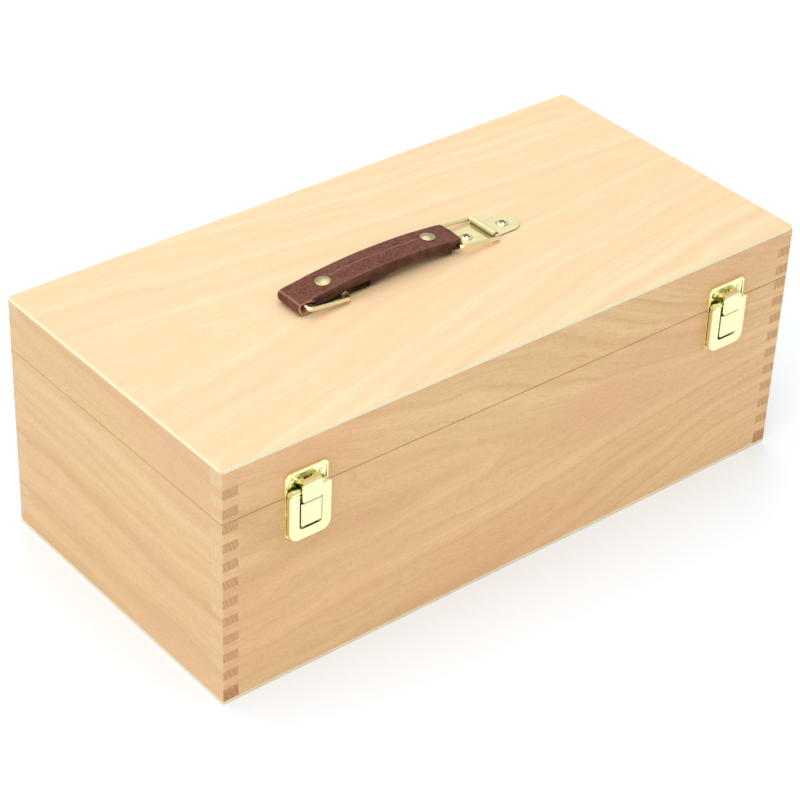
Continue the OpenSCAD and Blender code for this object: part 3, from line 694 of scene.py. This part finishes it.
def under(x):
    """Lowest point of the strip's thickness that starts at the top of the grip."""
    if PAD_L < x < PAD_R:
        return pad(x)
    if x <= PAD_L:
        return tail_l(x) + 0.75
    return tail_r(x) + 0.75


def smooth01(t):
    t = min(1.0, max(0.0, t))
    return t * t * (3 - 2 * t)


def round_wire(q):
    """Thickness that closes the right fold down to its wire."""
    t = math.hypot(q[0] - 24.8, q[1] - 5.2) - 1.3
    return min(max(1.35, t), 3.4 - 0.95 * smooth01((q[0] - 24.6) / 1.2))


def strip_line():
    """Outer line of the strip with the thickness of leather and filling under it."""
    pts = []

    def go(a, b, f, step=0.45):
        n = max(2, int(abs(b - a) / step))
        for i in range(n + 1):
            x = a + (b - a) * i / n
            pts.append((x, f(x)))

    def arc(cx, cy, r, a0, a1, n):
        for i in range(n + 1):
            a = math.radians(a0 + (a1 - a0) * i / n)
            pts.append((cx + r * math.cos(a), cy + r * math.sin(a)))

    go(-38.9, FOLD_L, tail_l)
    arc(FOLD_L, 4.03, 3.78, 268, 98, 30)
    go(FOLD_L + 0.2, FOLD_R - 0.2, arch)
    arc(FOLD_R + 0.5, 7.3, 2.6, 76, 2, 12)
    arc(FOLD_R + 0.5, 5.8, 2.6, -2, -88, 12)
    go(FOLD_R + 0.1, 21.2, tail_r)
    p = np.array(pts)
    keep = [0]
    for i in range(1, len(p)):
        if np.linalg.norm(p[i] - p[keep[-1]]) > 0.2:
            keep.append(i)
    p = p[keep]
    # even spacing along the line, corners eased a little
    seg = np.linalg.norm(np.diff(p, axis=0), axis=1)
    s = np.concatenate([[0], np.cumsum(seg)])
    n = int(s[-1] / 0.42)
    q = np.linspace(0, s[-1], n + 1)
    p = np.stack([np.interp(q, s, p[:, k]) for k in (0, 1)], 1)
    for _ in range(3):
        p[1:-1] = 0.25 * p[:-2] + 0.5 * p[1:-1] + 0.25 * p[2:]
    # close pairs of points on the top, where the thickness steps
    for cx in (-76.3, PAD_L, PAD_R, 23.3):
        k = [i for i in range(1, len(p)) if p[i - 1, 0] < cx <= p[i, 0] and p[i, 1] > 7.0][0]
        two = [[cx - 0.05, arch(cx - 0.05)], [cx + 0.05, arch(cx + 0.05)]]
        near = [q for q in (k - 1, k) if abs(p[q, 0] - cx) < 0.15]
        p = np.concatenate([p[:k], two, p[k:]])
        drop = [q if q < k else q + 2 for q in near]
        p = np.delete(p, drop, axis=0)
    return p


def build_handle():
    p = strip_line()
    n = len(p)
    t = np.gradient(p, axis=0)
    t /= np.linalg.norm(t, axis=1, keepdims=True)
    inner = np.stack([t[:, 1], -t[:, 0]], 1)
    on_top = np.zeros(n, bool)
    top_from = int(np.argmax(p[:, 0] <= FOLD_L - 2.9))     # leftmost part of the fold
    top_to = n - 1 - int(np.argmax((p[::-1, 0] >= FOLD_R + 1.9)))
    on_top[top_from:top_to] = p[top_from:top_to, 1] > 6.5
    thick = np.full(n, 1.35)
    for i in range(n):
        x = p[i, 0]
        if on_top[i]:
            full = arch(x) - under(x)
            thick[i] = full if x <= 23.3 else round_wire(p[i])
            if x < -76.3:             # round upper edge of the hollow for the wire
                f = min(1.0, max(0.0, (x + 82.4) / 6.2))
                low = 3.2 + 3.2 * math.sqrt(1.0 - f * f)
                thick[i] = min(full, max(1.35, arch(x) - low)) if x > -82.4 else 1.35
        elif i <= top_from:
            thick[i] = 1.35 + 0.40 * smooth01((x + 80) / 6)
        elif x > 25.8:
            thick[i] = round_wire(p[i])
        else:
            thick[i] = 1.35 + 0.40 * smooth01((24.5 - x) / 2)
    # outline of one cross-section: (side, depth share) built ring by ring
    NT, NC, NS, NI = 44, 5, 16, 30
    rings, kinds = [], None
    for i in range(n):
        T_, x = thick[i], p[i, 0]
        ro = min(1.05, T_ * 0.42)
        ri = min(1.5 if PAD_L < x < PAD_R else 0.5, T_ * 0.40)
        pts, kind = [], []
        for k in range(NT + 1):                   # outer face, back to front
            y = HW - ro - (2 * (HW - ro)) * k / NT
            crown = 0.42 * (y / HW) ** 2 + 0.25 * (abs(y) / HW) ** 6
            pts.append((y, crown if on_top[i] else 0.15 * (y / HW) ** 2))
            kind.append(0)
        d0 = pts[-1][1]
        for k in range(1, NC + 1):
            a = math.pi / 2 * k / NC
            pts.append((-(HW - ro) - ro * math.sin(a), d0 + ro * (1 - math.cos(a))))
            kind.append(0 if k < 3 else 1)
        side_len = max(0.02, T_ - ri - ro - d0)
        for k in range(1, NS + 1):
            f = k / NS
            bulge = 0.30 * math.sin(math.pi * f) * min(1.0, side_len / 4.0)
            pts.append((-HW - bulge + 0.0, d0 + ro + side_len * f))
            kind.append(1)
        for k in range(1, NC + 1):
            a = math.pi / 2 * k / NC
            pts.append((-(HW - ri) - ri * math.cos(a), T_ - ri + ri * math.sin(a)))
            kind.append(1 if k < 3 else 2)
        m = len(pts)
        for k in range(1, NI):
            y = -(HW - ri) + 2 * (HW - ri) * k / NI
            pts.append((y, T_))
            kind.append(2)
        front = [q for q in pts[NT + 1:m]]
        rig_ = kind[NT + 1:m]
        for (y, d), kk in reversed(list(zip(front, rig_))):
            pts.append((-y, d))
            kind.append(kk)
        rings.append(pts)
        kinds = kind
    M = len(rings[0])
    V = np.zeros((n, M, 3))
    for i in range(n):
        a = np.array(rings[i])
        V[i, :, 0] = p[i, 0] + inner[i, 0] * a[:, 1]
        V[i, :, 1] = a[:, 0]
        V[i, :, 2] = p[i, 1] + inner[i, 1] * a[:, 1]
    kinds = np.array(kinds)
    # the under layer was folded a little out of line, towards the front
    for i in range(n):
        if i <= top_from + 4:
            slip = -1.5 * smooth01((5.2 - p[i, 1]) / 4.6 + 0.1) * (1.0 - 0.85 * smooth01((p[i, 0] + 80) / 8))
        elif not on_top[i]:
            slip = -0.9 * smooth01((7.0 - p[i, 1]) / 4.0)
        else:
            slip = 0.0
        V[i, :, 1] += slip
    # vertex normals from the grid
    du = np.gradient(V, axis=0)
    dv = (np.roll(V, -1, 1) - np.roll(V, 1, 1)) * 0.5
    N = np.cross(du, dv)
    N /= np.linalg.norm(N, axis=2, keepdims=True) + 1e-12
    cen = V.mean(axis=1, keepdims=True)
    if ((V - cen) * N).sum() < 0:
        N = -N
    pebble = np.zeros((n, M))
    rub_and_highlight = np.zeros((n, M))
    cut = np.zeros((n, M))
    side = np.zeros((n, M))
    lift = np.zeros((n, M))
    for i in range(n):
        for j in range(M):
            v = Vector(V[i, j])
            q = Vector((v.x * 0.92, v.y * 0.92, v.z * 0.92)) + noise.noise_vector(v * 0.35) * 0.35
            d, _ = noise.voronoi(q, distance_metric="DISTANCE", exponent=2.5)
            h = min(1.0, max(0.0, (d[1] - d[0]) / 0.42))
            pebble[i, j] = h ** 0.7
            lift[i, j] = 0.13 * (h ** 0.7) + 0.10 * noise.noise(v * 0.8) + 0.05 * noise.noise(v * 2.1)
    yv = V[:, :, 1]
    top = on_top[:, None] & (kinds == 0)[None, :]
    # ridge down the middle of the top between the rivets, lighter along it with rubbed wear and a painted highlight
    xx = V[:, :, 0]
    along = np.clip((xx + 60.5) / 3.0, 0, 1) * np.clip((6.2 - xx) / 3.0, 0, 1)
    line_y = 0.55 + 0.25 * np.sin(xx * 0.11)
    ridge = np.exp(-((yv - line_y) / 0.42) ** 2) * along * top
    lift += 0.20 * ridge
    rub_and_highlight = np.maximum(rub_and_highlight, 0.75 * np.exp(-((yv - line_y) / 0.26) ** 2) * along * top)
    # rubbed wear and a painted highlight on the top edges and the bend at the left end
    edge = np.exp(-((np.abs(yv) - (HW - 0.45)) / 0.45) ** 2) * on_top[:, None] * (kinds <= 1)[None, :]
    rub_and_highlight = np.maximum(rub_and_highlight, 0.24 * edge)
    bend = np.exp(-((np.arange(n) - (np.argmax(on_top) + 1.0)) / 1.4) ** 2)[:, None] * (kinds == 0)[None, :]
    rub_and_highlight = np.maximum(rub_and_highlight, 0.75 * bend)
    lift -= 0.12 * np.exp(-((np.arange(n) - (np.argmax(on_top) + 5.0)) / 2.0) ** 2)[:, None] * (kinds == 0)[None, :]
    # leather drawn down round the rivets
    for rx, ry in ((-64.9, -1.3), (9.8, 0.0)):
        r = np.sqrt((xx - rx) ** 2 + (yv - ry) ** 2)
        lift -= 0.38 * np.exp(-np.maximum(0, r - 3.6) ** 2 / 2.6) * top
    thin = np.clip((3.6 - thick) / 1.6, 0, 1)
    left = np.clip((-76.6 - p[:, 0]) / 2.2, 0, 1)
    ends = left + 0.55 * np.clip((p[:, 0] - 25.0) / 2.0, 0, 1)
    cut = np.where((kinds == 1)[None, :], (thin * ends)[:, None], 0.0)
    rim = np.zeros(M)
    rim[NT + NC + NS - 2:NT + NC + NS + 4] = 1.0
    rim[M - (NC + NS + 4):M - (NC + NS - 2)] = 1.0
    cut = np.maximum(cut, rim[None, :] * (0.8 * left * on_top)[:, None])
    hollow = np.clip(left * 1.5, 0, 0.85)
    cut = np.where((kinds == 2)[None, :] & ((thick < 3.0) | ~on_top)[:, None], hollow[:, None], cut)
    # side marks the side and under faces of the strip for the painted-shade colour
    side = np.where((kinds >= 1)[None, :], 1.0, 0.0) * np.ones((n, M))
    lift *= np.where(cut > 0.3, 0.25, 1.0)
    step = np.abs(np.gradient(thick)) > 0.8
    lift *= np.where(step[:, None] & (kinds >= 1)[None, :], 0.15, 1.0)
    V = V + N * lift[:, :, None]
    V[:, :, 2] += TOP * 1000.0
    verts = [tuple(v * MM) for v in V.reshape(-1, 3)]
    faces = []
    for i in range(n - 1):
        for j in range(M):
            j2 = (j + 1) % M
            faces.append((i * M + j, i * M + j2, (i + 1) * M + j2, (i + 1) * M + j))
    faces.append(tuple(range(M)))
    faces.append(tuple((n - 1) * M + j for j in range(M - 1, -1, -1)))
    o = mesh_object("handle_leather", verts, faces)
    me = o.data
    for nm, arr in (("pebble", pebble), ("rub_and_highlight", rub_and_highlight), ("cut", cut), ("side", side)):
        at = me.attributes.new(nm, "FLOAT", "POINT")
        at.data.foreach_set("value", np.ascontiguousarray(arr.reshape(-1), dtype=np.float32))
    bm = bmesh.new()
    bm.from_mesh(me)
    bmesh.ops.recalc_face_normals(bm, faces=bm.faces)
    bm.to_mesh(me)
    bm.free()
    me.polygons.foreach_set("use_smooth", [True] * len(me.polygons))
    me.materials.append(mat_leather)
    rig.replaces(o, "handle_strap", "handle_core")
    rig.ride(o, "handle")
    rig.slot(o, "leather")
    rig.padded(o, fill=1.0)
    return o


build_handle()


def area(name, loc, aim, size, energy, color=(1, 1, 1)):
    l = bpy.data.lights.new(name, "AREA")
    l.shape = "RECTANGLE"
    l.size, l.size_y = size
    l.energy = energy
    l.color = color
    o = bpy.data.objects.new(name, l)
    scene.collection.objects.link(o)
    o.location = loc
    o.rotation_mode = "QUATERNION"
    o.rotation_quaternion = (Vector(aim) - Vector(loc)).to_track_quat("-Z", "Y")
    return o


area("softbox_top", (-0.2, 0.1, 1.9), (0, 0, 0.1), (2.6, 2.0), 17.4, (1.0, 1.0, 1.0))
area("softbox_back", (1.26, 1.56, 2.37), (0, 0, 0.15), (1.1, 1.1), 4.6)
area("softbox_left", (-2.0, -0.6, 1.1), (0, 0, 0.08), (1.6, 1.4), 11.0)

w = bpy.data.worlds.new("studio")
w.use_nodes = True
scene.world = w
wt = w.node_tree
wt.nodes.clear()
wo = wt.nodes.new("ShaderNodeOutputWorld")
bg = wt.nodes.new("ShaderNodeBackground")
bg.inputs[0].default_value = (1, 1, 1, 1)
bg.inputs[1].default_value = 0.70
wt.links.new(bg.outputs[0], wo.inputs[0])

cam = bpy.data.cameras.new("camera")
cam.sensor_width = 36.0
cam.lens = 113.926
cam.clip_start, cam.clip_end = 0.05, 50.0
cam_o = bpy.data.objects.new("camera", cam)
scene.collection.objects.link(cam_o)
cam_o.location = (-0.78516, -0.91892, 0.89193)
cam_o.rotation_mode = "QUATERNION"
cam_o.rotation_quaternion = Quaternion((0.837503, 0.432695, -0.169319, -0.287566))
scene.camera = cam_o

scene.view_settings.view_transform = "Standard"
scene.view_settings.look = "None"
scene.cycles.use_denoising = True

vis_box = [list(v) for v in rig.bounds()]
json.dump({"cad": cad_box, "visual": vis_box}, open("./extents.json", "w"))
